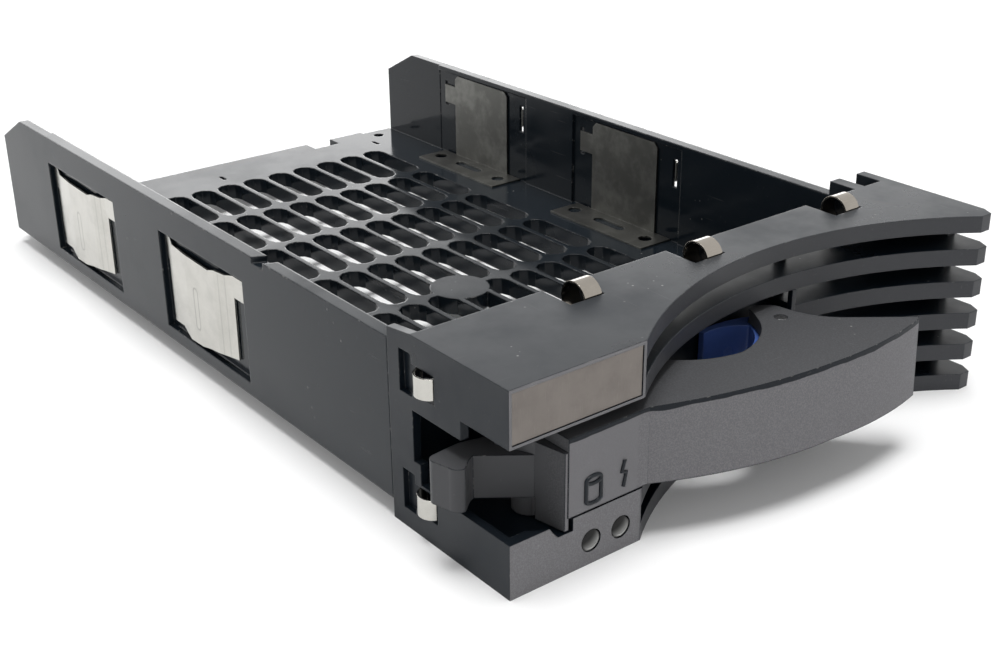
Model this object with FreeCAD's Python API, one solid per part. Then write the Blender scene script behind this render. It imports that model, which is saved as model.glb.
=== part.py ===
"""Hot-swap carrier for a 3.5-inch disk drive: slotted tray, louvred bezel, swinging handle.

Caddy axes while modelling: X across the front, left to right; Y from the front face to the
rear; Z up from the bezel's underside. Each finished solid is then moved so that the row's
origin is ORIGIN, a point on the bezel's underside midway across its width.
"""
import FreeCAD
import Part
import math
import os

V = FreeCAD.Vector

# ---------------------------------------------------------------- driving dimensions (mm)
# The bezel's height is eleven equal steps: six fins and the five gaps between them.
STEP = 3.1
FINS = 6
BEZEL_H = 11 * STEP
BEZEL_W = 109.8
BEZEL_Y = 29.4            # rear edge of the bezel's cheeks, where the tray begins
PLATE_Y = 23.4            # rear edge of the top plate
CHEEK = 1.5               # thickness of the left cheek

# Left housing: lower block, handle slot, upper block.
BLOCK_W = 25.6
SLOT_Z0 = 3 * STEP
SLOT_Z1 = 8 * STEP
CAVITY_Y = 25.4           # rear of the handle cavity

# Concave sweep that the top plate and every fin share.
SWEEP_END_X = 106.3
SWEEP_DEPTH = 13.5
NOTCH_X1 = 73.3           # right end of the middle fins' gap for the grip's nose

# Tray.
TRAY_W = 107.6
TRAY_Y0 = 29.5
WALL_Y1 = 184.8
WALL = 2.5
WALL_THIN = 2.1
TRAY_Z0 = 3.4
FLOOR_Z = 6.9
WALL_Z_LEFT = 31.5
WALL_Z_RIGHT = 29.3
FLOOR_SKIN = 3.5
POCKET_D = 1.3            # depth of the outer recess that a ground spring's leaf lies in
LEDGE_Y1 = 187.0
TONGUE_Y0 = 21.8

# Floor grid of long slots.
SLOT_PITCH_X = 7.03
SLOT_PITCH_Y = 21.95
SLOT_W = 5.9
SLOT_L = 20.5
SLOT_COLUMNS = 11
SLOT_ROWS = 6
SLOT_ROW0_Y = 51.4
GRID_SHIFT_X = 0.3        # the grid stands this far to the right of the tray's middle
PAD_R = 6.2               # solid round pad on one crossing of the grid

# 3.5-inch drive: bottom screw pattern, and the ground springs that share its holes.
DRIVE_HOLES_X = 95.25
DRIVE_HOLES_Y = 76.2
DRIVE_HOLE_R = 1.9
SPRING_PITCH_Y = 52.6
FOOT_HOLE_Y = (DRIVE_HOLES_Y - SPRING_PITCH_Y) / 2
FRONT_SPRING_Y = 91.3

# Handle and its pivot.
PIVOT = (11.0, 9.0)
PIVOT_R = 1.5
HANDLE_Z0 = SLOT_Z0 + 0.3
HANDLE_Z1 = SLOT_Z1 - 2.0
HUB_Z0 = 7.5
HUB_Z1 = 20.6
HUB_R = 8.9               # reach of the hub's foot round the pivot
HOOK_Z0 = 11.2
HOOK_Z1 = 18.4
SHELL_T = 2.4             # top and bottom walls of the hollow grip

# Release latch in the grip.
LATCH_PIVOT = (66.0, 9.7)
LATCH_PIN_R = 1.1
LATCH_GAP = 0.3

PRESS = 0.02              # radial room where a pin or screw is fixed
RUN = 0.05                # radial room where a part turns on a pin

# Spring fingers.
ROLL_T = 0.3
ROLL_W = 3.5
TOP_ROLL_R = 2.95
TOP_ROLL_OUT = 1.9        # how far a roll stands out of its face
SIDE_ROLL_R = 2.6
SIDE_ROLL_OUT = 1.2
TOP_SPRING_X = (30.3, 57.0, 91.8)
SIDE_SPRING_Z = (6.4, 26.9)

ORIGIN = V(BEZEL_W / 2, 20.0, 0)
CENTRE_X = TRAY_W / 2


# ---------------------------------------------------------------- helpers
def box(x0, x1, y0, y1, z0, z1):
    """Box between two corners."""
    return Part.makeBox(x1 - x0, y1 - y0, z1 - z0, V(x0, y0, z0))


def cylinder(x, y, z0, z1, radius):
    """Upright cylinder."""
    return Part.makeCylinder(radius, z1 - z0, V(x, y, z0))


def outline(parts, z):
    """Closed wire at height z. A part is a corner (x, y), or an arc's (middle, end)."""
    edges = []
    start = V(*parts[0], z)
    here = start
    for item in parts[1:] + [parts[0]]:
        if isinstance(item[0], tuple):
            middle, end = (V(*point, z) for point in item)
            edges.append(Part.Arc(here, middle, end).toShape())
        else:
            end = V(*item, z)
            edges.append(Part.LineSegment(here, end).toShape())
        here = end
    return Part.Wire(edges)


def prism(parts, z0, z1):
    """Upright solid with the given outline."""
    return Part.Face(outline(parts, z0)).extrude(V(0, 0, z1 - z0))


def slot_blank(x, y, width, length, z0, z1, steps=5):
    """Upright obround, long along Y, its ends drawn as a few short flats."""
    r = width / 2
    corners = []
    for end in (-1, 1):
        for step in range(steps + 1):
            angle = math.pi * step / steps
            across = -end * r * math.cos(angle)
            along = r * math.sin(angle)
            corners.append((x - across, y + end * (length / 2 - r + along)))
    return prism(corners, z0, z1)


def slot(x, y, width, length, z0, z1):
    """Upright obround, long along Y."""
    r = width / 2
    y0 = y - length / 2
    y1 = y + length / 2
    shape = [
        (x - r, y0 + r),
        ((x, y0), (x + r, y0 + r)),
        (x + r, y1 - r),
        ((x, y1), (x - r, y1 - r)),
    ]
    return prism(shape, z0, z1)


def fuse(solids):
    """One clean solid from touching or overlapping ones."""
    return solids[0].fuse(solids[1:]).removeSplitter()


def mirror_x(shape):
    """The same shape on the other side of the tray's middle."""
    return shape.mirror(V(CENTRE_X, 0, 0), V(1, 0, 0))


def sweep_y(x):
    """Depth of the front sweep at x."""
    half = (SWEEP_END_X - BLOCK_W) / 2
    radius = (half ** 2 + SWEEP_DEPTH ** 2) / (2 * SWEEP_DEPTH)
    middle = BLOCK_W + half
    return SWEEP_DEPTH - radius + math.sqrt(radius ** 2 - (x - middle) ** 2)


def front_outline(x0, rear):
    """Outline of the top plate or a fin, from x0 to the right end, back to rear."""
    middle = (BLOCK_W + SWEEP_END_X) / 2
    corners = [(x0, 0), (BLOCK_W, 0)] if x0 < BLOCK_W else [(x0, 0)]
    return corners + [
        ((middle, SWEEP_DEPTH), (SWEEP_END_X, 0)),
        (BEZEL_W - 1.1, 0),
        (BEZEL_W, 2.2),
        (BEZEL_W, rear),
        (x0, rear),
    ]


# ---------------------------------------------------------------- tray
def spring_centres():
    """Y of the front and rear ground spring."""
    return [FRONT_SPRING_Y, FRONT_SPRING_Y + SPRING_PITCH_Y]


def side_wall():
    """Left wall, with its spring pockets and windows, before its height is cut."""
    chamfer_y = WALL_Y1 - 11.0
    top = WALL_Z_LEFT
    side = [(TRAY_Y0, TRAY_Z0), (WALL_Y1, TRAY_Z0), (WALL_Y1, top - 5.7), (chamfer_y, top), (TRAY_Y0, top)]
    points = [V(0, y, z) for y, z in side]
    wall = Part.Face(Part.makePolygon(points + [points[0]])).extrude(V(WALL, 0, 0))
    wall = wall.cut(box(WALL_THIN, WALL, 161.0, WALL_Y1, FLOOR_Z, top))
    for y in spring_centres():
        wall = wall.cut(box(2.0, WALL, y - 18.2, y + 17.2, FLOOR_Z, 28.2))
        wall = wall.cut(box(0, POCKET_D, y - 16.7, y + 15.6, 5.9, 25.7))
        wall = wall.cut(box(0, WALL, y - 16.7, y - 15.4, 19.4, 25.7))
        wall = wall.cut(box(0, WALL, y + 13.6, y + 14.8, 19.6, 25.7))
    return wall


def tray_floor():
    """Slotted floor with a plain rear ledge and a tongue under the bezel."""
    z0 = FLOOR_Z - FLOOR_SKIN
    floor = box(WALL - 0.4, TRAY_W - WALL + 0.4, TRAY_Y0, LEDGE_Y1, z0, FLOOR_Z)
    grid_x = CENTRE_X + GRID_SHIFT_X
    half = (SLOT_COLUMNS - 1) // 2
    holes = []
    for column in range(-half, half + 1):
        x = grid_x + column * SLOT_PITCH_X
        for row in range(SLOT_ROWS):
            holes.append(slot_blank(x, SLOT_ROW0_Y + row * SLOT_PITCH_Y, SLOT_W, SLOT_L, z0, FLOOR_Z))
    floor = floor.cut(holes)
    pad_y = SLOT_ROW0_Y + 1.5 * SLOT_PITCH_Y
    pad = cylinder(grid_x, pad_y, z0, FLOOR_Z, PAD_R)
    tongue = box(BLOCK_W + 2, 99.0, TONGUE_Y0, TRAY_Y0, STEP, FLOOR_Z)
    return floor, pad, tongue


def drive_holes():
    """Centres of the four screw holes under the drive."""
    y0 = FRONT_SPRING_Y - FOOT_HOLE_Y
    return [(CENTRE_X + sx * DRIVE_HOLES_X / 2, y0 + dy) for sx in (-1, 1) for dy in (0, DRIVE_HOLES_Y)]


def tray():
    """One moulding: floor, two walls, rear ledge."""
    left = side_wall()
    right = mirror_x(left).cut(box(100, 110, 0, 200, WALL_Z_RIGHT, 40))
    right_chamfer = [(WALL_Y1 - 11.0, WALL_Z_RIGHT), (WALL_Y1, WALL_Z_RIGHT), (WALL_Y1, WALL_Z_RIGHT - 5.7)]
    corner = [V(100, y, z) for y, z in right_chamfer]
    right = right.cut(Part.Face(Part.makePolygon(corner + [corner[0]])).extrude(V(10, 0, 0)))
    floor, pad, tongue = tray_floor()
    body = fuse([floor, pad, tongue, left, right])

    # Rear edge: a notch for the backplane guide, a set-back corner and small locating holes.
    body = body.cut(box(80.0, 87.2, 182.4, LEDGE_Y1, 0, 10))
    body = body.cut(box(97.0, 106.0, 185.6, LEDGE_Y1, 0, 10))
    body = body.cut(cylinder(99.5, 181.8, 0, 10, 1.3))
    for x in (31.0, 49.5, 95.0):
        body = body.cut(slot(x, 176.5, 0.9, 3.0, 5.9, 10))

    # Slanted nick across the top of the left wall.
    nick = box(-1, 4, -1.7, 1.7, 0, 4)
    nick.rotate(V(0, 0, 0), V(0, 0, 1), -25)
    nick.translate(V(0, 68.6, WALL_Z_LEFT - 1.1))
    body = body.cut(nick)

    for x, y in drive_holes():
        body = body.cut(cylinder(x, y, 0, 10, DRIVE_HOLE_R))
        body = body.cut(cylinder(x, y, 0, FLOOR_Z - 2.0, 3.4))
    for x in screw_places():
        body = body.cut(cylinder(x, SCREW_Y, 0, 6.2, SCREW_R + PRESS))
    return body


# ---------------------------------------------------------------- bezel
SCREW_R = 1.45
SCREW_Y = 25.6


def screw_places():
    """X of the two screws that hold the tray's tongue to the bezel."""
    return (44.0, 84.0)


def handle_cavity():
    """Space in the left housing where the handle's hub and hook turn."""
    room = box(CHEEK, BLOCK_W, -1, CAVITY_Y, SLOT_Z0, SLOT_Z1)
    # Side opening: full slot height at the front, narrower towards the rear.
    front = box(-1, CHEEK, -1, 11.2, SLOT_Z0, SLOT_Z1)
    middle = box(-1, CHEEK, 11.0, 21.6, SLOT_Z0, 21.6)
    rear = box(-1, CHEEK, 20.4, 23.3, 12.8, 21.6)
    # Bevelled round pocket that the hub's foot sweeps, open to the front beside the grip.
    depth = SLOT_Z0 - HUB_Z0 + 0.3
    foot = Part.makeCone(HUB_R + 0.3, HUB_R + 0.8, depth, V(*PIVOT, HUB_Z0 - 0.3))
    foot = foot.cut(box(11.9, 30, -5, 1.1, 0, SLOT_Z0)).cut(box(-5, CHEEK, -5, 30, 0, SLOT_Z0))
    well = box(CHEEK, 17.0, 1.9, 18.0, HUB_Z0 - 0.3, SLOT_Z0)
    return [room, front, middle, rear, foot, well]


def left_housing():
    """Lower and upper blocks, left cheek and the wall behind the handle cavity."""
    lower = box(0, BLOCK_W, 0, 20.0, 0, SLOT_Z0)
    upper = box(0, BLOCK_W, 0, 20.0, SLOT_Z1, BEZEL_H)
    ceiling = box(0, BLOCK_W, 19.0, CAVITY_Y + 2, SLOT_Z1, SLOT_Z1 + 2.2)
    deck = box(0, BLOCK_W, 19.0, CAVITY_Y + 2, SLOT_Z0 - 2.2, SLOT_Z0)
    rear = box(0, BLOCK_W, CAVITY_Y, CAVITY_Y + 2, 0, SLOT_Z1 + 2.2)
    cheek_side = [(0, 0), (BEZEL_Y, 0), (BEZEL_Y, BEZEL_H - 0.8), (PLATE_Y, BEZEL_H), (0, BEZEL_H)]
    points = [V(0, y, z) for y, z in cheek_side]
    cheek = Part.Face(Part.makePolygon(points + [points[0]])).extrude(V(CHEEK, 0, 0))
    return [lower, upper, ceiling, deck, rear, cheek]


def side_spring_pockets():
    """Windows for the two rolled fingers in the left cheek, with the wider clip recess."""
    cuts = []
    for z in SIDE_SPRING_Z:
        cuts.append(box(-1, 4.4, 17.5, 23.3, z - ROLL_W / 2 - 0.5, z + ROLL_W / 2 + 0.7))
        cuts.append(box(CHEEK, 4.4, 17.5, CAVITY_Y, z - ROLL_W / 2 - 0.2, z + ROLL_W / 2 + 0.2))
        cuts.append(box(-1, 1.0, 23.2, 26.4, max(z - 3.1, 1.0), z + 4.0))
    return cuts


def top_spring_notches():
    """Notches in the top plate's rear edge for the three rolled fingers."""
    notches = []
    for x in TOP_SPRING_X:
        notches.append(box(x - 5.1, x + ROLL_W / 2 + 0.15, 16.5, PLATE_Y + 1, 30, 40))
    return notches


def fin_stack():
    """Top plate, bottom plate and the four louvre fins between them."""
    top = prism(front_outline(0, PLATE_Y), BEZEL_H - STEP, BEZEL_H)
    bottom = prism(front_outline(BLOCK_W - 1, CAVITY_Y + 2), 0, STEP)
    fins = [top, bottom]
    for level in range(1, FINS - 1):
        z = 2 * level * STEP
        fins.append(prism(front_outline(BLOCK_W - 1, 20.0), z, z + STEP))
    return fins


def bezel():
    """One moulding: housing for the handle, louvres, cheeks and guide plates."""
    parts = left_housing() + fin_stack()

    # Right end: cheek behind the fin tips and the two guide plates that take the tray wall.
    parts.append(box(BEZEL_W - 2.2, BEZEL_W, 7.5, BEZEL_Y - 0.4, 0, BEZEL_H))
    parts.append(box(100.3, 103.0, 19.0, BEZEL_Y - 0.1, 0, BEZEL_H))
    # Ribs that join the fins at their rear edge, out of sight from the front.
    parts.append(box(33.0, 34.6, 18.4, 20.0, 0, BEZEL_H - 1))
    parts.append(box(75.0, 76.6, 18.4, 20.0, 0, BEZEL_H - 1))
    parts.append(box(90.0, 91.6, 18.4, 20.0, 0, BEZEL_H - 1))
    body = fuse(parts)

    # Room in the middle fins for the handle's arm and nose.
    body = body.cut(box(BLOCK_W - 1, 36.0, -1, 12.0, SLOT_Z0, SLOT_Z1))
    body = body.cut(handle_cavity())
    body = body.cut(box(35.0, NOTCH_X1, 0, 19.0, SLOT_Z0, SLOT_Z1))
    recess_back = box(33.0, NOTCH_X1 + 2, 19.0, 20.4, SLOT_Z0, SLOT_Z1)
    body = fuse([body, catch_post(), recess_back])

    body = body.cut(side_spring_pockets() + top_spring_notches())
    # Recess for the label plate.
    body = body.cut(box(0.5, 25.05, -1, 0.55, SLOT_Z1 + 0.45, BEZEL_H - 0.6))
    # Holes: pivot pin (pressed in from below), light pipes, tray screws.
    body = body.cut(cylinder(*PIVOT, 0, 28.2, PIVOT_R + PRESS))
    for x in LIGHT_PIPE_X:
        body = body.cut(Part.makeCylinder(LIGHT_PIPE_R + PRESS, 40, V(x, -1, LIGHT_PIPE_Z), V(0, 1, 0)))
    for x in screw_places():
        body = body.cut(cylinder(x, SCREW_Y, -1, STEP, SCREW_R + 0.15))
        body = body.cut(Part.makeCone(3.0, SCREW_R + 0.15, 1.7, V(x, SCREW_Y, 0)))
    return body


def catch_post():
    """Post between the fins, beside the release latch's catch."""
    return box(NOTCH_X1 - 0.9, NOTCH_X1 + 0.1, 12.9, 13.9, SLOT_Z0, SLOT_Z1)


# ---------------------------------------------------------------- small fixed parts
LIGHT_PIPE_X = (15.5, 21.45)
LIGHT_PIPE_Z = 4.1
LIGHT_PIPE_R = 1.9


def light_pipe(x):
    """Clear rod through the lower block with a shallow dome in front."""
    dome = 0.6
    radius = (LIGHT_PIPE_R ** 2 + dome ** 2) / (2 * dome)
    rod = Part.makeCylinder(LIGHT_PIPE_R, BEZEL_Y - 0.6, V(x, 0.3, LIGHT_PIPE_Z), V(0, 1, 0))
    ball = Part.makeSphere(radius, V(x, radius - dome + 0.3, LIGHT_PIPE_Z))
    cap = ball.common(Part.makeCylinder(LIGHT_PIPE_R, 3, V(x, -2.7, LIGHT_PIPE_Z), V(0, 1, 0)))
    return fuse([rod, cap])


def label_plate():
    """Bare metallic plate in the upper block's recess."""
    return box(0.6, 24.95, 0.15, 0.55, SLOT_Z1 + 0.55, BEZEL_H - 0.7)


def tray_screws():
    """Countersunk screws from below, through the bottom plate into the tray's tongue."""
    solids = []
    for x in screw_places():
        head = Part.makeCone(2.8, SCREW_R, 1.55, V(x, SCREW_Y, 0.1))
        shank = cylinder(x, SCREW_Y, 1.65, 6.0, SCREW_R)
        corners = [math.radians(60 * side) for side in range(6)]
        drive = prism([(x + math.cos(a), SCREW_Y + math.sin(a)) for a in corners], 0, 0.9)
        solids.append(head.fuse(shank).removeSplitter().cut(drive))
    return Part.makeCompound(solids)


def pivot_pin():
    """Steel pin that the handle turns on."""
    return cylinder(*PIVOT, 0.6, 28.0, PIVOT_R)


def roll_point(radius, degrees):
    """Point of the contact roll's section, in its own Y-Z plane."""
    angle = math.radians(degrees)
    return V(0, radius * math.cos(angle), radius * math.sin(angle))


def contact(radius, tail_y, tail_z):
    """Rolled contact finger: axis along X, roll centred on the origin, open at the front.

    The flat tail ends at tail_y, with its lower face at tail_z where the strip leaves the roll.
    """
    inner = radius - ROLL_T
    start = math.degrees(math.asin(tail_z / radius))
    if tail_y < 0:
        start = -180 - start
    middle = (start + 200) / 2
    outer = Part.Arc(roll_point(radius, start), roll_point(radius, middle), roll_point(radius, 200))
    back = Part.Arc(roll_point(inner, 200), roll_point(inner, middle), roll_point(inner, start))
    tip = Part.LineSegment(roll_point(radius, 200), roll_point(inner, 200))
    root = Part.LineSegment(roll_point(inner, start), roll_point(radius, start))
    edges = [outer.toShape(), tip.toShape(), back.toShape(), root.toShape()]
    roll = Part.Face(Part.Wire(edges)).extrude(V(ROLL_W, 0, 0))
    roll_y = roll_point(radius - ROLL_T / 2, start).y
    flat = box(0, ROLL_W, min(tail_y, roll_y), max(tail_y, roll_y), tail_z, tail_z + ROLL_T)
    strip = fuse([roll, flat])
    strip.translate(V(-ROLL_W / 2, 0, 0))
    return strip


def top_contact(x):
    """Contact finger in the top plate: its tail runs forward under the plate."""
    centre_z = BEZEL_H + TOP_ROLL_OUT - TOP_ROLL_R
    tail_z = BEZEL_H - STEP - ROLL_T - centre_z
    strip = contact(TOP_ROLL_R, -5.8, tail_z)
    strip.translate(V(x, 19.8, centre_z))
    return strip


def side_contact(z):
    """Contact finger in the left cheek: its tail runs back along the cheek's inner face."""
    centre_x = SIDE_ROLL_R - SIDE_ROLL_OUT
    strip = contact(SIDE_ROLL_R, 4.8, centre_x - CHEEK - ROLL_T)
    # Stand the roll upright with its open side to the front and its back towards -X.
    strip.rotate(V(0, 0, 0), V(0, 1, 0), -90)
    strip.translate(V(centre_x, 20.4, z))
    return strip


# ---------------------------------------------------------------- ground springs
SHEET = 0.4


def sheet_wall(points, z0, z1):
    """Thin upright sheet along a polyline in plan, SHEET thick to the left of travel."""
    line = [V(*p, 0) for p in points]
    left = []
    for i, point in enumerate(line):
        before = (point - line[i - 1]).normalize() if i > 0 else None
        after = (line[i + 1] - point).normalize() if i < len(line) - 1 else None
        along = before + after if before and after else before or after
        along.normalize()
        normal = V(-along.y, along.x, 0)
        turn = (before or after).dot(along)
        left.append(point + normal * (SHEET / turn))
    corners = [(p.x, p.y) for p in line] + [(p.x, p.y) for p in reversed(left)]
    return prism(corners, z0, z1)


def leaf_edge(y):
    """Side outline of a ground spring's leaf, for cutting its stepped edges."""
    side = [
        (-16.5, 20.7),
        (-11.8, 20.7),
        (-11.6, 8.2),
        (-7.5, 7.8),
        (-2.0, 7.1),
        (1.5, 6.4),
        (6.2, 6.3),
        (7.6, 7.0),
        (9.2, 7.9),
        (13.4, 7.6),
        (13.4, 20.4),
        (14.8, 20.4),
        (14.8, 25.0),
        (12.3, 25.0),
        (11.6, 23.8),
        (-3.2, 23.4),
        (-5.4, 24.1),
        (-9.0, 24.2),
        (-11.8, 24.9),
        (-16.5, 24.9),
    ]
    points = [V(-2, y + dy, z) for dy, z in side]
    return Part.Face(Part.makePolygon(points + [points[0]])).extrude(V(5.4, 0, 0))


def ground_spring(y):
    """Left-hand folded sheet: foot on the floor, leg on the wall, leaf in the outer recess."""
    x_leg = WALL - SHEET
    leg_y0 = y - 10.8
    leg_y1 = y + 10.2
    foot = box(x_leg, 10.9, y - 15.6, y + 15.0, FLOOR_Z, FLOOR_Z + SHEET)
    foot = foot.cut(box(0, WALL, leg_y1, y + 20, 0, 10))
    leg_side = [(leg_y0, FLOOR_Z), (leg_y1, FLOOR_Z), (leg_y1, 26.9), (leg_y1 - 1.1, 28.0),
                (leg_y0 + 1.1, 28.0), (leg_y0, 26.9)]
    leg_wire = [V(x_leg, *point) for point in leg_side]
    leg = Part.Face(Part.makePolygon(leg_wire + [leg_wire[0]])).extrude(V(SHEET, 0, 0))
    arm = box(x_leg, WALL, leg_y1 - 1.0, y + 14.4, 20.4, 25.0)
    # The leaf leaves the arm through the rear slit and ends in the front one.
    fold = [
        (WALL, y + 14.4),
        (0.8, y + 14.4),
        (0.6, y + 12.0),
        (0.15, y + 6.0),
        (0.15, y - 5.4),
        (0.75, y - 11.0),
        (0.75, y - 16.3),
        (1.9, y - 16.3),
    ]
    leaf = sheet_wall(fold, 5.9, 26).common(leaf_edge(y))
    body = fuse([foot, leg, arm, leaf])
    hole_x = CENTRE_X - DRIVE_HOLES_X / 2
    for side in (-1, 1):
        hole_y = y + side * FOOT_HOLE_Y
        across = 2 * (DRIVE_HOLE_R - 0.3)
        body = body.cut(slot_blank(hole_x, hole_y, across, across + 0.01, 6, 8))
    return body.cut(slot_blank(hole_x, y, 2.4, 9.6, 6, 8))


# ---------------------------------------------------------------- handle and latch
def handle_profile(level):
    """Plan of the grip and arm. level 0 is the underside, 1 the top: the front leans in."""
    lean = 1.0 - level
    return [
        (10.9, 0.0),
        (26.7, 0.0),
        ((42.8 + 1.0 * lean, -4.9 - 1.5 * lean), (60.0, -7.2 - 1.3 * lean)),
        ((72.5 - 0.5 * lean, -7.1 - 1.5 * lean), (83.4 - 1.5 * lean, -5.3 - 1.7 * lean)),
        (83.9 - 1.7 * lean, -4.6 - 1.8 * lean),
        (74.2, 3.0),
        ((70.6, 7.6), (69.3, 12.2)),
        ((67.6, 15.0), (64.2, 15.2)),
        ((58.6, 7.4), (51.0, 4.5)),
        ((44.8, 6.3), (40.2, 9.6)),
        (38.2, 10.2),
        (17.6, 11.4),
        (14.0, 14.2),
        (10.9, 14.2),
    ]


def handle():
    """Hollow grip with a finger cut-out, a pivot hub and the hook that grips the chassis."""
    lower = outline(handle_profile(0), HANDLE_Z0)
    upper = outline(handle_profile(1), HANDLE_Z1)
    grip = Part.makeLoft([lower, upper], True, True)

    hub_plan = [
        (10.35, 0.15),
        (11.1, 0.15),
        (12.2, 2.4),
        (16.2, PIVOT[1]),
        ((PIVOT[0], PIVOT[1] + 5.2), (6.6, 11.8)),
        (9.3, 5.7),
    ]
    hub = prism(hub_plan, HOOK_Z0, HUB_Z1)
    foot = prism([(10.35, 0.15), (11.1, 0.15), (12.2, 2.4), (14.6, 6.4), (9.3, 5.7)], HUB_Z0, HOOK_Z0)
    boss = cylinder(*PIVOT, HUB_Z0, HOOK_Z0, PIVOT_R + 1.3)
    hook_plan = [
        (9.35, 5.7),
        (2.1, 11.2),
        (1.0, 10.6),
        (-1.0, 8.9),
        ((-2.2, 9.4), (-2.7, 10.6)),
        (-3.4, 13.3),
        ((-3.2, 14.6), (-2.3, 15.1)),
        (2.6, 15.6),
        (7.4, 14.6),
        (12.0, 13.0),
    ]
    hook = prism(hook_plan, HOOK_Z0, HOOK_Z1)
    body = fuse([grip, hub, foot, boss, hook])

    # Clear the hub's own levels above and below, where the grip stands over them.
    pocket_z0 = HANDLE_Z0 + SHELL_T
    pocket_z1 = HANDLE_Z1 - SHELL_T
    pocket = [
        (45.5, 4.0),
        (47.5, -2.2),
        ((60.0, -4.7), (73.0, -4.0)),
        (76.5, -2.4),
        (70.0, 4.2),
        (67.4, 4.6),
        (71.5, 8.0),
        (75.0, 14.0),
        (75.0, 20.0),
        (45.5, 20.0),
    ]
    body = body.cut(prism(pocket, pocket_z0, pocket_z1))
    body = body.cut(cylinder(*PIVOT, 0, 40, PIVOT_R + RUN))
    return body.cut(cylinder(*LATCH_PIVOT, 0, 40, LATCH_PIN_R + PRESS))


def latch_pin():
    """Pin across the grip that the latch turns on, flush with the grip's top."""
    return cylinder(*LATCH_PIVOT, HANDLE_Z0 + 0.2, HANDLE_Z1, LATCH_PIN_R)


def release_latch():
    """Blue lever: thumb pad and rear wing round the cut-out, hub on the pin, catch at the rear."""
    z0 = HANDLE_Z0 + SHELL_T + LATCH_GAP
    z1 = HANDLE_Z1 - SHELL_T - LATCH_GAP
    plan = [
        (63.9, 14.6),
        ((59.6, 9.6), (53.8, 7.6)),
        (53.7, 5.8),
        ((60.0, 5.9), (64.6, 6.8)),
        ((67.6, 6.9), (69.1, 9.0)),
        (70.9, 13.2),
        (71.3, 14.6),
        (70.9, 15.8),
        (68.0, 16.6),
        ((61.6, 18.6), (55.6, 18.4)),
        (55.6, 17.2),
        ((60.2, 17.0), (63.7, 14.9)),
    ]
    body = prism(plan, z0, z1)
    return body.cut(cylinder(*LATCH_PIVOT, 0, 40, LATCH_PIN_R + RUN))


def latch_spring():
    """Bent leaf between the grip's front wall and the latch's pad."""
    leaf = [(49.5, -2.1), (55.0, -3.3), (57.4, -3.3), (59.8, 1.0), (58.9, 5.2)]
    z_mid = (HANDLE_Z0 + HANDLE_Z1) / 2
    return sheet_wall(leaf, z_mid - 1.6, z_mid + 1.6)


# ---------------------------------------------------------------- write the sub-parts
def build():
    """All nodes by name."""
    front, rear = spring_centres()
    nodes = {
        "tray": tray(),
        "bezel": bezel(),
        "label_plate": label_plate(),
        "light_pipe_left": light_pipe(LIGHT_PIPE_X[0]),
        "light_pipe_right": light_pipe(LIGHT_PIPE_X[1]),
        "tray_screws": tray_screws(),
        "pivot_pin": pivot_pin(),
        "handle": handle(),
        "latch_pin": latch_pin(),
        "release_latch": release_latch(),
        "latch_spring": latch_spring(),
        "ground_spring_left_front": ground_spring(front),
        "ground_spring_left_rear": ground_spring(rear),
        "ground_spring_right_front": mirror_x(ground_spring(front)),
        "ground_spring_right_rear": mirror_x(ground_spring(rear)),
    }
    for name, x in zip(("left", "middle", "right"), TOP_SPRING_X):
        nodes["top_contact_" + name] = top_contact(x)
    for name, z in zip(("lower", "upper"), SIDE_SPRING_Z):
        nodes["side_contact_" + name] = side_contact(z)
    return nodes


def main():
    """Write each node to parts/ in the row's frame."""
    os.makedirs("parts", exist_ok=True)
    for name, shape in build().items():
        shape.translate(-ORIGIN)
        shape.exportStep("parts/" + name + ".step")
        size = shape.BoundBox
        print("%-28s solids %d valid %s  x %.1f..%.1f  y %.1f..%.1f  z %.1f..%.1f" % (
            name, len(shape.Solids), shape.isValid(),
            size.XMin, size.XMax, size.YMin, size.YMax, size.ZMin, size.ZMax))


main()
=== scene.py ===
"""Finishes, small moulded marks, light and camera for the hot swap drive caddy."""
import math

import bmesh
import bpy
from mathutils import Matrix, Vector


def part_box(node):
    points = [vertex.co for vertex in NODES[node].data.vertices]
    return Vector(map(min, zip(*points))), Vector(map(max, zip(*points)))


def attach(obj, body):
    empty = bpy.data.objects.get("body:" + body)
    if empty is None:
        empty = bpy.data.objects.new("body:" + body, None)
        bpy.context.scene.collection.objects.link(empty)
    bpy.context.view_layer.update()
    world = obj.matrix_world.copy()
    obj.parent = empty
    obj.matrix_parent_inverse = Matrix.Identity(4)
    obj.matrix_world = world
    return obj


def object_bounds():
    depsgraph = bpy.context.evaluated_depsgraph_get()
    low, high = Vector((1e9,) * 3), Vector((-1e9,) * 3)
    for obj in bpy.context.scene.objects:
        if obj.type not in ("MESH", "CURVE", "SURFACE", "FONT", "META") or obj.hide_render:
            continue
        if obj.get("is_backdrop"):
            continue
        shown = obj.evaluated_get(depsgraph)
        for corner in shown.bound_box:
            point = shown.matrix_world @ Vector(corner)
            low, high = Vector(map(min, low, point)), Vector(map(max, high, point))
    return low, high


bl_info = {
    "name": "Drive Caddy Finishes",
    "version": (1, 0, 0),
    "blender": (4, 5, 0),
    "location": "3D View > Sidebar > Drive Caddy",
    "description": "Dresses a hot swap drive caddy in moulded plastic, spring steel and wear",
    "category": "Object",
}

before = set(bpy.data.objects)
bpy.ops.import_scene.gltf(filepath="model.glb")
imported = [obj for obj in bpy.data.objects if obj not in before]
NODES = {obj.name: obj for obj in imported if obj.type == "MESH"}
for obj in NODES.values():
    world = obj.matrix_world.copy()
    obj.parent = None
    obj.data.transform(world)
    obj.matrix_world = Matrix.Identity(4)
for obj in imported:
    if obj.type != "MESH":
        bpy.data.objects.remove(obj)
MM = 0.001


# ---------------------------------------------------------------- settings
def colour(name, description, default):
    """A colour property."""
    return bpy.props.FloatVectorProperty(
        name=name, description=description, subtype="COLOR", size=3, min=0, max=1, default=default
    )


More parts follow.
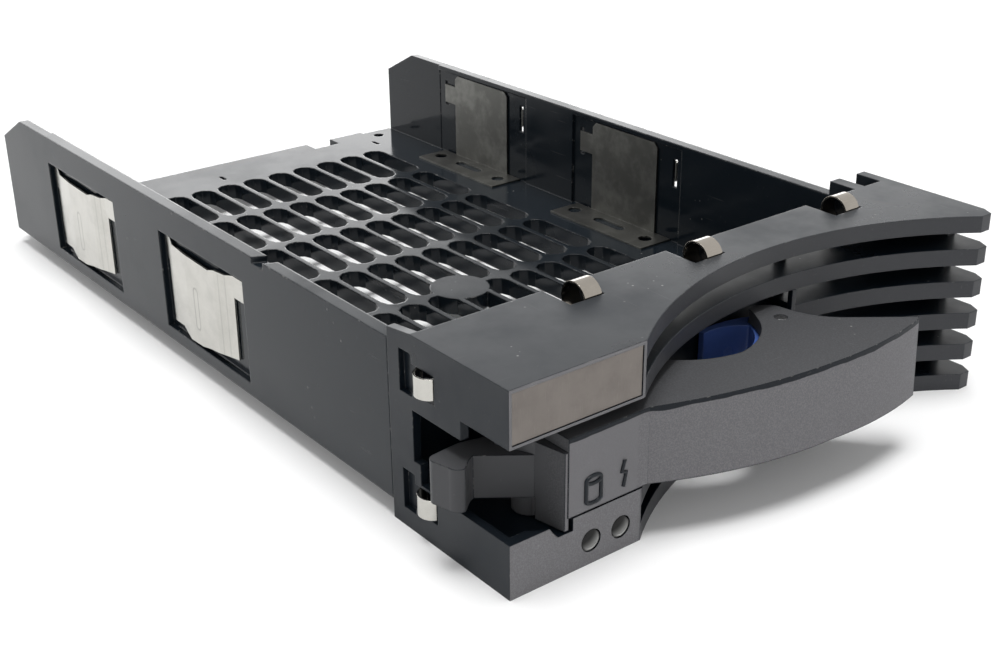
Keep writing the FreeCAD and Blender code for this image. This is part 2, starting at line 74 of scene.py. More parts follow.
def factor(name, description, default):
    """A property between 0 and 1."""
    return bpy.props.FloatProperty(
        name=name, description=description, subtype="FACTOR", min=0, max=1, default=default
    )


def length(name, description, default):
    """A length property, in metres."""
    return bpy.props.FloatProperty(
        name=name, description=description, subtype="DISTANCE", unit="LENGTH", min=0, default=default
    )


class CaddyColours(bpy.types.PropertyGroup):
    """Base colours of the finishes."""

    tray: colour("Tray", "Semi-gloss moulded black of the tray", (0.008, 0.0115, 0.0155))
    bezel: colour("Bezel", "Satin black of the bezel", (0.004, 0.007, 0.011))
    handle: colour("Handle", "Matte black of the handle", (0.066, 0.067, 0.071))
    # Paler colour of the faces that look to the front: partly the spark-eroded finish, partly painted
    # light from the front.
    grained_and_lit: colour("Grained and lit front", "Spark-eroded faces at the front", (0.165, 0.163, 0.171))
    latch: colour("Latch", "Blue of the release latch", (0.07, 0.13, 0.40))
    label: colour("Label plate", "Bare metallic plate", (0.19, 0.172, 0.158))
    steel: colour("Spring steel", "Bright stainless strip", (0.525, 0.515, 0.48))
    dull_steel: colour("Top contacts", "Darker strip of the top contacts", (0.36, 0.33, 0.29))
    inner_grey: colour("Inner grey", "Dull grey inner side of the ground springs", (0.105, 0.105, 0.098))
    pin: colour("Pins", "Turned steel of the pins and screws", (0.55, 0.55, 0.55))
    pipe: colour("Light pipe", "Smoked clear plastic", (0.04, 0.04, 0.039))
    dust: colour("Dust", "Pale specks and scuffs", (0.42, 0.41, 0.39))


class CaddyFinish(bpy.types.PropertyGroup):
    """Gloss, grain and wear."""

    tray_roughness: factor("Tray roughness", "Gloss of the tray's smooth moulding", 0.17)
    bezel_roughness: factor("Bezel roughness", "Gloss of the bezel's smooth faces", 0.36)
    grain_roughness: factor("Grain roughness", "Gloss of the spark-eroded faces", 0.58)
    wear: factor("Wear", "How far edges are polished and nicked", 0.7)
    dust: factor("Dust", "How much dust lies on the plastic", 0.5)
    edge_radius: length("Edge radius", "Moulded radius of the plastic's edges", 0.25 * MM)
    grain_depth: length("Grain depth", "Depth of the spark-eroded grain", 0.05 * MM)
    grain_size: length("Grain size", "Width of one pit of the spark-eroded grain", 0.22 * MM)
    symbol_width: length("Symbol width", "Width of the raised symbols' beads", 0.68 * MM)
    rim_width: length("Label rim width", "Width of the bead round the label plate", 0.34 * MM)


class CaddyStage(bpy.types.PropertyGroup):
    """Light and camera."""

    lens: bpy.props.FloatProperty(
        name="Lens", description="Focal length on a 36 mm sensor", subtype="DISTANCE_CAMERA",
        min=10, max=200, default=52.16,
    )
    camera: bpy.props.FloatVectorProperty(
        name="Camera position", description="Where the camera stands", subtype="TRANSLATION",
        unit="LENGTH", default=(-0.16243, -0.15590, 0.12332),
    )
    aim: bpy.props.FloatVectorProperty(
        name="Camera rotation", description="Which way the camera looks", subtype="EULER",
        unit="ROTATION", default=tuple(math.radians(a) for a in (65.041, 0.435, -38.187)),
    )
    zenith: bpy.props.FloatProperty(
        name="Zenith", description="Strength of the dim ceiling", min=0, max=3, default=0.25
    )
    horizon: bpy.props.FloatProperty(
        name="Horizon", description="Strength of the pale walls round the table", min=0, max=3, default=0.7
    )
    window: bpy.props.FloatProperty(
        name="Window", description="Radiance of the low softbox behind the table",
        min=0, max=4, default=2.15,
    )
    sun: bpy.props.FloatProperty(
        name="Overhead light", description="Strength of the softbox overhead", min=0, default=2.6
    )
    softness: bpy.props.FloatProperty(
        name="Softness", description="Angle that the overhead softbox fills", subtype="ANGLE",
        unit="ROTATION", min=0, max=math.pi, default=math.radians(28),
    )


# ---------------------------------------------------------------- node helpers
class Tree:
    """Short calls for building a node tree."""

    def __init__(self, tree):
        self.tree = tree

    def node(self, kind, links=None, **settings):
        """Adds a node. links maps socket names or numbers to values or to other sockets."""
        made = self.tree.nodes.new(kind)
        for key, value in settings.items():
            setattr(made, key, value)
        for key, value in (links or {}).items():
            if isinstance(value, bpy.types.NodeSocket):
                self.tree.links.new(value, made.inputs[key])
            else:
                made.inputs[key].default_value = value
        return made

    def math(self, operation, a, b=0.0, clamp=False):
        """One math node."""
        return self.node("ShaderNodeMath", {0: a, 1: b}, operation=operation, use_clamp=clamp).outputs[0]

    def vector(self, operation, a, b=(0, 0, 0)):
        """One vector math node that gives a vector."""
        return self.node("ShaderNodeVectorMath", {0: a, 1: b}, operation=operation).outputs[0]

    def dot(self, a, b):
        """The dot product of two vectors."""
        return self.node("ShaderNodeVectorMath", {0: a, 1: b}, operation="DOT_PRODUCT").outputs["Value"]

    def length(self, vector):
        """A vector's length."""
        return self.node("ShaderNodeVectorMath", {0: vector}, operation="LENGTH").outputs["Value"]

    def ramp(self, value, low, high, to_low=0.0, to_high=1.0):
        """Maps low..high smoothly to to_low..to_high."""
        links = {"Value": value, "From Min": low, "From Max": high, "To Min": to_low, "To Max": to_high}
        return self.node("ShaderNodeMapRange", links, interpolation_type="SMOOTHSTEP").outputs[0]

    def mix(self, mask, a, b):
        """Mixes two colours by a mask."""
        made = self.node("ShaderNodeMix", data_type="RGBA")
        for socket, value in ((0, mask), (6, a), (7, b)):
            if isinstance(value, bpy.types.NodeSocket):
                self.tree.links.new(value, made.inputs[socket])
            elif socket == 0:
                made.inputs[0].default_value = value
            else:
                made.inputs[socket].default_value = (*value[:3], 1)
        return made.outputs[2]

    def blend(self, mask, a, b):
        """Mixes two values by a mask."""
        return self.node("ShaderNodeMix", {"Factor": mask, "A": a, "B": b}, data_type="FLOAT").outputs[0]

    def axes(self, vector):
        """A vector's X, Y and Z."""
        return self.node("ShaderNodeSeparateXYZ", {0: vector}).outputs

    def noise(self, where, scale, detail=2.0, rough=0.5):
        """One noise texture's value."""
        links = {"Vector": where, "Scale": scale, "Detail": detail, "Roughness": rough}
        return self.node("ShaderNodeTexNoise", links).outputs["Fac"]


def group(name, inputs, outputs):
    """A new shader node group with its input and output nodes."""
    tree = bpy.data.node_groups.new(name, "ShaderNodeTree")
    for label, kind, default in inputs:
        socket = tree.interface.new_socket(label, in_out="INPUT", socket_type="NodeSocket" + kind)
        if default is not None:
            socket.default_value = default
    for label, kind in outputs:
        tree.interface.new_socket(label, in_out="OUTPUT", socket_type="NodeSocket" + kind)
    build = Tree(tree)
    return build, build.node("NodeGroupInput"), build.node("NodeGroupOutput")


def edge_group():
    """Rounded edges and a mask of where the edges are rubbed."""
    t, given, out = group(
        "Moulded Edge",
        [("Radius", "Float", 0.0003), ("Wear", "Float", 0.5)],
        [("Normal", "Vector"), ("Rubbed", "Float"), ("Edge", "Float")],
    )
    soft = t.node("ShaderNodeBevel", {"Radius": given.outputs["Radius"]}, samples=6)
    flat = t.node("ShaderNodeNewGeometry").outputs["Normal"]
    turned = t.dot(soft.outputs[0], flat)
    edge = t.ramp(turned, 0.995, 0.86)
    where = t.node("ShaderNodeTexCoord").outputs["Object"]
    patch = t.ramp(t.noise(where, 420.0, 5.0, 0.7), 0.56, 0.66)
    rubbed = t.math("MULTIPLY", t.math("MULTIPLY", edge, patch), given.outputs["Wear"])
    t.tree.links.new(soft.outputs[0], out.inputs["Normal"])
    t.tree.links.new(rubbed, out.inputs["Rubbed"])
    t.tree.links.new(t.ramp(turned, 0.99, 0.93), out.inputs["Edge"])
    return t.tree


def grain_group():
    """Fine spark-eroded grain: a height and a shade that follow the same pits."""
    t, given, out = group(
        "Spark Grain",
        [("Size", "Float", 0.0003)],
        [("Height", "Float"), ("Shade", "Float")],
    )
    where = t.node("ShaderNodeTexCoord").outputs["Object"]
    scale = t.math("DIVIDE", 1.0, given.outputs["Size"])
    coarse = t.noise(where, scale, 2.0, 0.55)
    pits = t.node("ShaderNodeTexVoronoi", {"Vector": where, "Scale": scale}, feature="SMOOTH_F1")
    pitted = t.math("MULTIPLY", pits.outputs["Distance"], 0.5)
    height = t.math("ADD", t.math("MULTIPLY", coarse, 0.7), pitted)
    t.tree.links.new(height, out.inputs["Height"])
    t.tree.links.new(t.ramp(height, 0.40, 0.80, 0.86, 1.14), out.inputs["Shade"])
    return t.tree


def dust_group():
    """Pale specks, mostly on faces that look up, and short fine scratches."""
    t, given, out = group(
        "Dust and Scratches",
        [("Dust", "Float", 0.3), ("Scratches", "Float", 0.3)],
        [("Specks", "Float"), ("Lines", "Float"), ("Cloud", "Float")],
    )
    coord = t.node("ShaderNodeTexCoord")
    where = coord.outputs["Object"]
    up = t.axes(coord.outputs["Normal"])["Z"]
    lies = t.ramp(up, -0.4, 0.9, 0.35, 1.0)
    cell = t.node("ShaderNodeTexVoronoi", {"Vector": where, "Scale": 520.0}).outputs["Distance"]
    dot = t.ramp(cell, 0.13, 0.05)
    few = t.ramp(t.noise(where, 95.0, 3.0), 0.56, 0.68)
    share = t.math("MULTIPLY", lies, given.outputs["Dust"])
    specks = t.math("MULTIPLY", t.math("MULTIPLY", dot, few), share)
    # Two sets of scratches: how the lines are turned, stretched and spaced
    sets = (((0.3, 0.5, 0.9), (1, 26, 9), 95.0), ((0.9, -0.4, -0.5), (21, 1, 13), 80.0))
    lines = 0.0
    for turn, stretch, scale in sets:
        drawn = t.node("ShaderNodeMapping", {"Vector": where, "Rotation": turn, "Scale": stretch})
        lines = t.math("MAXIMUM", lines, t.ramp(t.noise(drawn.outputs[0], scale, 2.0), 0.70, 0.76))
    lines = t.math("MULTIPLY", lines, given.outputs["Scratches"])
    cloud = t.noise(where, 38.0, 5.0, 0.62)
    for label, value in (("Specks", specks), ("Lines", lines), ("Cloud", cloud)):
        t.tree.links.new(value, out.inputs[label])
    return t.tree


def shared(name):
    """A shared group by name, built on first use."""
    makers = {"Moulded Edge": edge_group, "Spark Grain": grain_group, "Dust and Scratches": dust_group}
    return bpy.data.node_groups.get(name) or makers[name]()


def new_material(name):
    """A material, its tree and its shader."""
    material = bpy.data.materials.new(name)
    material.use_nodes = True
    shader = material.node_tree.nodes["Principled BSDF"]
    return material, Tree(material.node_tree), shader


def use_group(t, name, **values):
    """Places a shared group in a material."""
    made = t.node("ShaderNodeGroup", node_tree=shared(name))
    for key, value in values.items():
        made.inputs[key].default_value = value
    return made.outputs


def paint(node, material):
    """Gives a CAD node its finish."""
    mesh = NODES[node].data
    mesh.materials.clear()
    mesh.materials.append(material)


# ---------------------------------------------------------------- plastics
# How far scratches and nicks pale the colour, nicks add gloss, specks take it away and the faces swell
SCRATCH_PALE = 0.3
NICK_PALE = 0.5
NICK_GLOSS = 0.18
SPECK_MATTE = 0.3
SWELL = 0.35


def between(t, value, low, high, soft=0.2 * MM):
    """1 where value lies between low and high, with soft ends."""
    above = t.ramp(value, low - soft, low + soft)
    below = t.ramp(value, high - soft, high + soft, 1.0, 0.0)
    return t.math("MULTIPLY", above, below)


def handle_fronts(t, coord):
    """Masks of the handle's satin fronts, which take the paler colour as painted light from the front, of
    their spark-eroded part, and of the crease band, rubbed smooth and painted dark as shade.
    """
    place, facing = t.axes(coord.outputs["Object"]), t.axes(coord.outputs["Normal"])
    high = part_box("handle")[1]
    # Faces that look to the front get the paler colour, painted light from the front: the grained top and
    # flank keep the darker colour.
    front = t.ramp(facing["Y"], -0.2, -0.45)
    flank = t.ramp(facing["X"], -0.7, -0.9)
    # The hook and its arm are smooth, up to the block that covers the pivot.
    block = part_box("pivot_pin")[0][0] + 0.15 * MM
    right = between(t, place["X"], block, high[0] + MM)
    # The block with the symbols has less grain than the grip beside it.
    grip_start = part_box("light_pipe_right")[1][0] + MM
    grip = t.ramp(place["X"], grip_start, grip_start + 0.3 * MM, 0.25, 1.0)
    # A wavy band under the top edge is rubbed smooth, and painted dark as shade along the crease.
    wave = t.math("MULTIPLY", t.noise(coord.outputs["Object"], 160.0), 0.8 * MM)
    band = t.ramp(t.math("ADD", place["Z"], wave), high[2] - 0.45 * MM, high[2] - 0.3 * MM)
    eroded = t.math("MULTIPLY", right, t.math("MAXIMUM", grip, flank))
    return t.math("MULTIPLY", front, right), eroded, t.math("MULTIPLY", band, front)


def bezel_fronts(t, coord):
    """Masks of the bezel's satin fronts and of their spark-eroded part. It has no crease."""
    place, facing = t.axes(coord.outputs["Object"]), t.axes(coord.outputs["Normal"])
    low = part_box("bezel")[0]
    front = t.ramp(facing["Y"], -0.2, -0.45)
    # Faces right at the front are satin, and right of the cheek so are those set back by a little.
    near_y, deep_y, cheek_x = low[1] + 1.0 * MM, low[1] + 14.2 * MM, low[0] + 4.4 * MM
    first = t.ramp(place["Y"], near_y, near_y + 0.5 * MM, 1.0, 0.0)
    deep = t.ramp(place["Y"], deep_y, deep_y + 0.8 * MM, 1.0, 0.0)
    inner = t.ramp(place["X"], cheek_x, cheek_x + 0.4 * MM)
    front = t.math("MULTIPLY", front, t.math("MAXIMUM", first, t.math("MULTIPLY", deep, inner)))
    # The fins are darker than the block, and the block has the grain only low down.
    fins_x, block_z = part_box("label_plate")[1][0], low[2] + 9.2 * MM
    fins = t.ramp(place["X"], fins_x, fins_x + MM)
    below = t.ramp(place["Z"], block_z, block_z + 0.4 * MM, 1.0, 0.0)
    front = t.math("MULTIPLY", front, t.ramp(fins, 0.0, 1.0, 1.0, 0.25))
    return front, t.math("MULTIPLY", front, t.math("MAXIMUM", fins, below)), 0.0


def plastic(
    name, base, smooth, wear=0.5, dust=0.35, fronts=None, gloss_range=0.1, specular=0.28, radius=None,
    polish_and_shade=0.0,
):
    """Moulded plastic. fronts gives the masks of a piece with satin and spark-eroded faces; the paler
    front colour is partly painted light.
    """
    finish = bpy.context.scene.caddy_finish
    colours = bpy.context.scene.caddy_colours
    material, t, shader = new_material(name)
    link = t.tree.links.new
    edge = use_group(t, "Moulded Edge", Radius=radius or finish.edge_radius, Wear=wear)
    dirt = use_group(t, "Dust and Scratches", Dust=dust, Scratches=0.12)
    shader.inputs["Specular IOR Level"].default_value = specular

    tone = base
    rough = t.ramp(dirt["Cloud"], 0.3, 0.7, smooth - gloss_range, smooth + gloss_range)
    height = t.math("MULTIPLY", dirt["Cloud"], SWELL)
    if fronts:
        grain = use_group(t, "Spark Grain", Size=finish.grain_size)
        front, mask, crease = fronts(t, t.node("ShaderNodeTexCoord"))
        shade = t.blend(mask, 1.0, grain["Shade"])
        grey = t.node("ShaderNodeCombineXYZ", {0: shade, 1: shade, 2: shade}).outputs[0]
        # The paler colour on faces that look to the front is partly the spark-eroded finish and partly
        # painted light from the front.
        tone = t.vector("MULTIPLY", grey, t.mix(front, base, colours.grained_and_lit))
        # Along the handle's edges and the crease band the grain is rubbed smooth and the colour is painted
        # dark, as shade.
        rubbed = t.math("MULTIPLY", t.math("MAXIMUM", edge["Edge"], crease), polish_and_shade)
        tone = t.mix(rubbed, tone, colours.bezel)
        eroded = t.math("MULTIPLY", mask, t.math("SUBTRACT", 1.0, rubbed))
        rough = t.blend(eroded, rough, finish.grain_roughness)
        height = t.blend(eroded, height, grain["Height"])
    pale = t.math("MAXIMUM", dirt["Specks"], t.math("MULTIPLY", dirt["Lines"], SCRATCH_PALE))
    pale = t.math("MAXIMUM", pale, t.math("MULTIPLY", edge["Rubbed"], NICK_PALE))
    link(t.mix(pale, tone, colours.dust), shader.inputs["Base Color"])
    worn = t.math("SUBTRACT", rough, t.math("MULTIPLY", edge["Rubbed"], NICK_GLOSS))
    dusty = t.math("MULTIPLY", dirt["Specks"], SPECK_MATTE)
    link(t.math("ADD", worn, dusty, clamp=True), shader.inputs["Roughness"])
    bump = {"Height": height, "Normal": edge["Normal"], "Strength": 0.6, "Distance": finish.grain_depth}
    link(t.node("ShaderNodeBump", bump).outputs[0], shader.inputs["Normal"])
    return material


class CADDY_OT_tray(bpy.types.Operator):
    """Semi-gloss moulded black for the tray"""

    bl_idname = "caddy.tray"
    bl_label = "Tray"

    def execute(self, context):
        colours, finish = context.scene.caddy_colours, context.scene.caddy_finish
        black = plastic(
            "tray_black", colours.tray, finish.tray_roughness, wear=finish.wear, dust=finish.dust,
            radius=0.45 * MM, specular=0.21,
        )
        paint("tray", black)
        return {"FINISHED"}


class CADDY_OT_bezel(bpy.types.Operator):
    """Satin bezel with spark-eroded front faces"""

    bl_idname = "caddy.bezel"
    bl_label = "Bezel"

    def execute(self, context):
        colours, finish = context.scene.caddy_colours, context.scene.caddy_finish
        black = plastic(
            "bezel_black", colours.bezel, finish.bezel_roughness, wear=finish.wear, dust=finish.dust,
            fronts=bezel_fronts, gloss_range=0.13, specular=0.26,
        )
        paint("bezel", black)
        return {"FINISHED"}


class CADDY_OT_handle(bpy.types.Operator):
    """Grained handle and its blue release latch"""

    bl_idname = "caddy.handle"
    bl_label = "Handle and latch"

    def execute(self, context):
        colours, finish = context.scene.caddy_colours, context.scene.caddy_finish
        black = plastic(
            "handle_black", colours.handle, 0.36, wear=min(1.0, finish.wear * 1.6),
            dust=finish.dust, fronts=handle_fronts, radius=0.3 * MM, specular=0.13, polish_and_shade=0.95,
        )
        paint("handle", black)
        blue = plastic("latch_blue", colours.latch, 0.24, wear=0.2, dust=0.2, specular=0.5)
        paint("release_latch", blue)
        return {"FINISHED"}


# ---------------------------------------------------------------- metals
def pressed(t, where):
    """Lines of the long dimple pressed into each ground spring's leaf and of its two creases, for the bump
    and for painted shade.
    """
    place = t.axes(where)
    dimple_y, dimple_z, dimple_half = 3.2 * MM, 13.7 * MM, 3.4 * MM
    ring_in, ring_out, ring_soft = 0.65 * MM, 0.95 * MM, 0.12 * MM
    creases, crease_half, crease_shown = (-6.2 * MM, -8.4 * MM), 0.15 * MM, 0.5
    shown = 0.0
    for end in ("front", "rear"):
        low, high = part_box("ground_spring_left_" + end)
        along = t.math("SUBTRACT", place["Y"], (low[1] + high[1]) / 2)
        side = t.math("SUBTRACT", along, dimple_y)
        height = t.math("ABSOLUTE", t.math("SUBTRACT", place["Z"], dimple_z))
        beyond = t.math("MAXIMUM", t.math("SUBTRACT", height, dimple_half), 0.0)
        offset = t.node("ShaderNodeCombineXYZ", {0: side, 1: beyond}).outputs[0]
        shown = t.math("MAXIMUM", shown, between(t, t.length(offset), ring_in, ring_out, ring_soft))
        for crease in creases:
            line = between(t, along, crease - crease_half, crease + crease_half, crease_half)
            shown = t.math("MAXIMUM", shown, t.math("MULTIPLY", line, crease_shown))
    return shown


def metal(name, base, rough, streak, bump=0.15, inner_grey=None):
    """Rolled strip or plate with fine drawn lines along one direction and light smudges.

    The last argument is a darker, duller colour for the parts that lie inside the tray's walls.
    """
    material, t, shader = new_material(name)
    link = t.tree.links.new
    where = t.node("ShaderNodeTexCoord").outputs["Object"]
    drawn = t.node("ShaderNodeMapping", {"Vector": where, "Scale": streak}).outputs[0]
    lines = t.noise(drawn, 1.0, 3.0, 0.6)
    smudge = t.noise(where, 210.0, 4.0, 0.6)
    dark = tuple(c * 0.88 for c in base)
    tone = t.mix(t.ramp(smudge, 0.35, 0.75), base, dark)
    light = tuple(min(1.0, c * 1.15) for c in base)
    tone = t.mix(t.ramp(lines, 0.55, 0.75, 0.0, 0.6), tone, light)
    if inner_grey:
        # The leaf outside the wall stays bright. What lies inside the wall is a darker, duller grey.
        low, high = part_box("tray")
        middle = (low[0] + high[0]) / 2
        out = t.math("ABSOLUTE", t.math("SUBTRACT", t.axes(where)["X"], middle))
        wall = high[0] - middle
        leaf = t.ramp(out, wall - 1.9 * MM, wall - 1.5 * MM)
        inner_pale = tuple(c * 1.5 for c in inner_grey)
        # Painted shade: the dimple's ring and the creases are darkened on the leaf, and they are raised in
        # the bump.
        pressed_shade_and_bump = t.math("MULTIPLY", leaf, pressed(t, where))
        tone = t.mix(t.math("MULTIPLY", pressed_shade_and_bump, 0.45), tone, inner_grey)
        tone = t.mix(leaf, t.mix(t.ramp(smudge, 0.4, 0.7), inner_grey, inner_pale), tone)
        lines = t.math("ADD", lines, t.math("MULTIPLY", pressed_shade_and_bump, 5.0))
    gloss = t.ramp(smudge, 0.3, 0.8, rough - 0.03, rough + 0.05)
    if inner_grey:
        gloss = t.blend(leaf, 0.42, gloss)
    link(tone, shader.inputs["Base Color"])
    link(gloss, shader.inputs["Roughness"])
    edge = use_group(t, "Moulded Edge", Radius=0.08 * MM, Wear=0.3)
    shader.inputs["Metallic"].default_value = 1.0
    raised = {"Height": lines, "Normal": edge["Normal"], "Strength": bump, "Distance": 0.02 * MM}
    link(t.node("ShaderNodeBump", raised).outputs[0], shader.inputs["Normal"])
    return material


class CADDY_OT_metals(bpy.types.Operator):
    """Contact fingers, ground springs, label plate, pins and screws"""

    bl_idname = "caddy.metals"
    bl_label = "Springs, plate and pins"

    def execute(self, context):
        colours = context.scene.caddy_colours
        finger = metal("side_contact_steel", colours.steel, 0.16, (300, 9000, 9000))
        dull = metal("top_contact_steel", colours.dull_steel, 0.14, (300, 9000, 9000))
        ground = metal(
            "ground_spring_steel", colours.steel, 0.2, (4000, 250, 4000), inner_grey=colours.inner_grey
        )
        plate = metal("label_plate_metal", colours.label, 0.42, (6000, 4000, 500), bump=0.5)
        ground_pin = metal("ground_pin_steel", colours.pin, 0.25, (4000, 4000, 300))
        for node in NODES:
            if "_contact_" in node:
                paint(node, dull if node.startswith("top") else finger)
            elif node.startswith("ground_spring") or node == "latch_spring":
                paint(node, ground)
            elif node in ("pivot_pin", "latch_pin", "tray_screws"):
                paint(node, ground_pin)
        paint("label_plate", plate)
        return {"FINISHED"}


class CADDY_OT_light_pipes(bpy.types.Operator):
    """Smoked clear plastic for the two light pipes, with painted shade and a painted highlight on their
    domes
    """

    bl_idname = "caddy.light_pipes"
    bl_label = "Light pipes"

    def execute(self, context):
        for node in ("light_pipe_left", "light_pipe_right"):
            paint(node, self.smoked(node, context.scene.caddy_colours))
        return {"FINISHED"}

    def smoked(self, node, colours):
        """Dark dome with painted shade on its upper left, painted light low on its right and a painted
        highlight crescent inside the rim.
        """
        material, t, shader = new_material(node + "_smoked")
        link = t.tree.links.new
        where = t.node("ShaderNodeTexCoord").outputs["Object"]
        low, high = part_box(node)
        centre = (low + high) / 2
        radius = (high.x - low.x) / 2
        off = t.vector("SUBTRACT", where, tuple(centre))
        flat = t.vector("MULTIPLY", off, (1 / radius, 0, 1 / radius))
        reach = t.length(flat)
        slope = t.dot(flat, (0.5, 0, -0.85))
        # Painted shade on the dome's upper left and painted light low on its right, standing in for the
        # dome's shape.
        dark, pale, bright = (tuple(min(1.0, c * times) for c in colours.pipe) for times in (0.3, 6, 15))
        tone = t.mix(t.ramp(slope, -0.45, 0.6), dark, pale)
        # A painted highlight: a crescent inside the rim, low on the right.
        highlight_crescent = t.math("MULTIPLY", between(t, reach, 0.66, 0.84, 0.07), t.ramp(slope, 0.25, 0.7))
        tone = t.mix(highlight_crescent, tone, bright)
        # Painted shade: a dark ring at the rim's upper left.
        rim = t.math("MULTIPLY", t.ramp(reach, 0.8, 0.95), t.ramp(slope, 0.5, -0.1))
        link(t.mix(rim, tone, dark), shader.inputs["Base Color"])
        cloud = t.noise(where, 900.0, 3.0)
        link(t.ramp(cloud, 0.3, 0.7, 0.12, 0.22), shader.inputs["Roughness"])
        shader.inputs["Specular IOR Level"].default_value = 0.2
        return material


# ---------------------------------------------------------------- raised marks
def bead(name, loops, width, body, material):
    """A raised mark that rides on a body: each loop of points becomes a rounded bead."""
    curve = bpy.data.curves.new(name, "CURVE")
    curve.dimensions = "3D"
    curve.bevel_depth = width / 2
    curve.bevel_resolution = 3
    for points, closed in loops:
        spline = curve.splines.new("POLY")
        spline.points.add(len(points) - 1)
        for point, place in zip(spline.points, points):
            point.co = (*place, 1)
        spline.use_cyclic_u = closed
    made = bpy.data.objects.new(name, curve)
    bpy.context.scene.collection.objects.link(made)
    made.data.materials.append(material)
    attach(made, body)


def half_ring(x, y, z, half, flat, start):
    """Points of half an upright oval about (x, z), from the angle start."""
    steps = 16
    turns = (start + math.pi * step / steps for step in range(steps + 1))
    return [(x + half * math.cos(turn), y, z + flat * math.sin(turn)) for turn in turns]


class CADDY_OT_marks(bpy.types.Operator):
    """Raised drive and activity symbols on the handle's front, and a pale rim round the label plate as a
    painted highlight
    """

    bl_idname = "caddy.marks"
    bl_label = "Symbols and label rim"

    def execute(self, context):
        self.symbols(context.scene.caddy_colours, context.scene.caddy_finish)
        self.label_rim(context.scene.caddy_colours, context.scene.caddy_finish)
        return {"FINISHED"}

    def symbols(self, colours, finish):
        """A drum over the left light pipe and a zigzag over the right one."""
        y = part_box("bezel")[0][1] - 0.05 * MM
        left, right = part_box("light_pipe_left"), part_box("light_pipe_right")
        x_drive = (left[0][0] + left[1][0]) / 2 + 0.2 * MM
        x_bolt = (right[0][0] + right[1][0]) / 2 + 0.2 * MM
        base = left[1][2] + 5.3 * MM
        half, tall, flat = 1.45 * MM, 3.3 * MM, 0.65 * MM
        top = half_ring(x_drive, y, base + tall, half, flat, 0.0)
        bottom = half_ring(x_drive, y, base, half, flat, math.pi)
        lid = half_ring(x_drive, y, base + tall, half, flat, math.pi)
        bolt = [(0.15, 4.4), (-0.4, 2.5), (0.45, 2.2), (0.0, -0.1)]
        bolt = [(x_bolt + dx * MM, y, base + dz * MM) for dx, dz in bolt]
        black = plastic("raised_mark_black", colours.bezel, 0.34, wear=0.6, dust=0.2)
        loops = [(top + bottom, True), (lid, False), (bolt, False)]
        bead("raised_symbols", loops, finish.symbol_width, "handle", black)

    def label_rim(self, colours, finish):
        """A thin pale bead round the label plate's recess, a painted highlight on the recess's edge, with
        worn nicks.
        """
        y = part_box("bezel")[0][1] + 0.08 * MM
        low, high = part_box("label_plate")
        gap = 0.45 * MM
        x0, x1, z0, z1 = low[0] - gap, high[0] + gap, low[2] - gap, high[2] + gap
        rim = [(x, y, z) for x, z in ((x0, z0), (x1, z0), (x1, z1), (x0, z1))]
        # The bead's pale colour is a painted highlight on the edge of the recess.
        worn = plastic("label_rim_highlight", colours.grained_and_lit, 0.4, wear=0.9, dust=0.2)
        bead("label_rim", [(rim, True)], finish.rim_width, "carrier", worn)


# ---------------------------------------------------------------- stage
def add_floor(scene, height):
    """A matte white floor that keeps the caddy's shadow."""
    half_side, white, shown_lift = 4.0, 0.86, 0.06
    mesh = bpy.data.meshes.new("floor")
    work = bmesh.new()
    bmesh.ops.create_grid(work, x_segments=2, y_segments=2, size=half_side)
    work.to_mesh(mesh)
    work.free()
    floor = bpy.data.objects.new("floor", mesh)
    floor.location.z = height
    scene.collection.objects.link(floor)
    floor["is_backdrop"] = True
    material, t, shader = new_material("floor_white")
    shader.inputs["Base Color"].default_value = (white, white, white, 1)
    shader.inputs["Roughness"].default_value = 0.9
    shader.inputs["Specular IOR Level"].default_value = 0.1
    shader.inputs["Emission Color"].default_value = (1, 1, 1, 1)
    lift = t.math("MULTIPLY", seen_directly(t), shown_lift)
    t.tree.links.new(lift, shader.inputs["Emission Strength"])
    mesh.materials.append(material)


def seen_directly(t):
    """1 on rays from the camera, from a reflection or through clear plastic."""
    path = t.node("ShaderNodeLightPath").outputs
    seen = t.math("MAXIMUM", path["Is Camera Ray"], path["Is Glossy Ray"])
    return t.math("MAXIMUM", seen, path["Is Transmission Ray"])


def add_world(scene, settings):
    """A white room to look at, which lights matte faces less from above than from its walls."""
    world = bpy.data.worlds.new("white_room")
    world.use_nodes = True
    scene.world = world
    t = Tree(world.node_tree)
    background = world.node_tree.nodes["Background"]
    height = t.axes(t.node("ShaderNodeTexCoord").outputs["Generated"])["Z"]
    room = t.ramp(height, 0.5, 0.85, settings.horizon, settings.zenith)
    t.tree.links.new(t.blend(seen_directly(t), room, 1.0), background.inputs["Strength"])
    background.inputs["Color"].default_value = (1, 1, 1, 1)


def add_lights(scene, settings, floor_height):
    """A soft light straight overhead and a wide, low softbox behind the table."""
    light = bpy.data.lights.new("overhead", "SUN")
    light.energy = settings.sun
    light.angle = settings.softness
    scene.collection.objects.link(bpy.data.objects.new("overhead", light))

    wide, tall, away = 10.0, 1.4, 3.0
    light = bpy.data.lights.new("window", "AREA")
    light.shape = "RECTANGLE"
    light.size, light.size_y = wide, tall
    light.energy = math.pi * wide * tall * settings.window
    window = bpy.data.objects.new("window", light)
    window.location = (0, away, floor_height + tall / 2)
    window.rotation_euler = (math.radians(-90), 0, 0)
    scene.collection.objects.link(window)


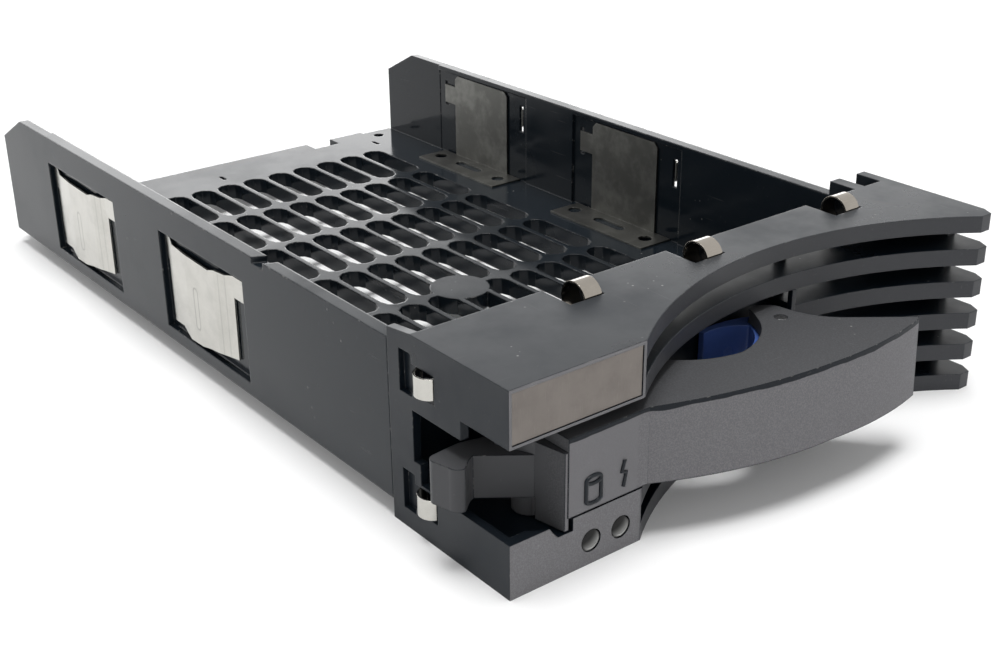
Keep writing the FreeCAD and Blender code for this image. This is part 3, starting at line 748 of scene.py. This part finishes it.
def add_camera(scene, settings):
    """The camera, from the front left and above."""
    camera = bpy.data.objects.new("camera", bpy.data.cameras.new("camera"))
    camera.data.sensor_width = 36
    camera.data.lens = settings.lens
    camera.data.clip_start = 0.01
    camera.location = settings.camera
    camera.rotation_euler = settings.aim
    scene.collection.objects.link(camera)
    scene.camera = camera


class CADDY_OT_stage(bpy.types.Operator):
    """Pale floor, soft light and the camera"""

    bl_idname = "caddy.stage"
    bl_label = "Stage, light and camera"

    def execute(self, context):
        scene = context.scene
        settings = scene.caddy_stage
        floor_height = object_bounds()[0][2]
        add_floor(scene, floor_height)
        add_world(scene, settings)
        add_lights(scene, settings, floor_height)
        scene.view_settings.view_transform = "Standard"
        add_camera(scene, settings)
        return {"FINISHED"}


# ---------------------------------------------------------------- panel and registration
class CADDY_PT_panel(bpy.types.Panel):
    """The caddy's settings and steps"""

    bl_idname = "CADDY_PT_panel"
    bl_label = "Drive Caddy"
    bl_space_type = "VIEW_3D"
    bl_region_type = "UI"
    bl_category = "Drive Caddy"

    def draw(self, context):
        for group_name in GROUPS:
            settings = getattr(context.scene, group_name)
            box = self.layout.box()
            for name in settings.__annotations__:
                box.prop(settings, name)
        for step in STEPS:
            self.layout.operator(step.bl_idname)


GROUPS = {"caddy_colours": CaddyColours, "caddy_finish": CaddyFinish, "caddy_stage": CaddyStage}
STEPS = (
    CADDY_OT_tray,
    CADDY_OT_bezel,
    CADDY_OT_handle,
    CADDY_OT_metals,
    CADDY_OT_light_pipes,
    CADDY_OT_marks,
    CADDY_OT_stage,
)


def register():
    """Registers the classes and hangs the settings on the scene."""
    for item in (*GROUPS.values(), *STEPS, CADDY_PT_panel):
        bpy.utils.register_class(item)
    for name, kind in GROUPS.items():
        setattr(bpy.types.Scene, name, bpy.props.PointerProperty(type=kind))


def unregister():
    """Takes the settings and the classes away again."""
    for name in GROUPS:
        delattr(bpy.types.Scene, name)
    for item in reversed((*GROUPS.values(), *STEPS, CADDY_PT_panel)):
        bpy.utils.unregister_class(item)


def main():
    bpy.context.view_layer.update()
    register()
    for step in STEPS:
        area, name = step.bl_idname.split(".")
        getattr(getattr(bpy.ops, area), name)()


if __name__ == "__main__":
    main()
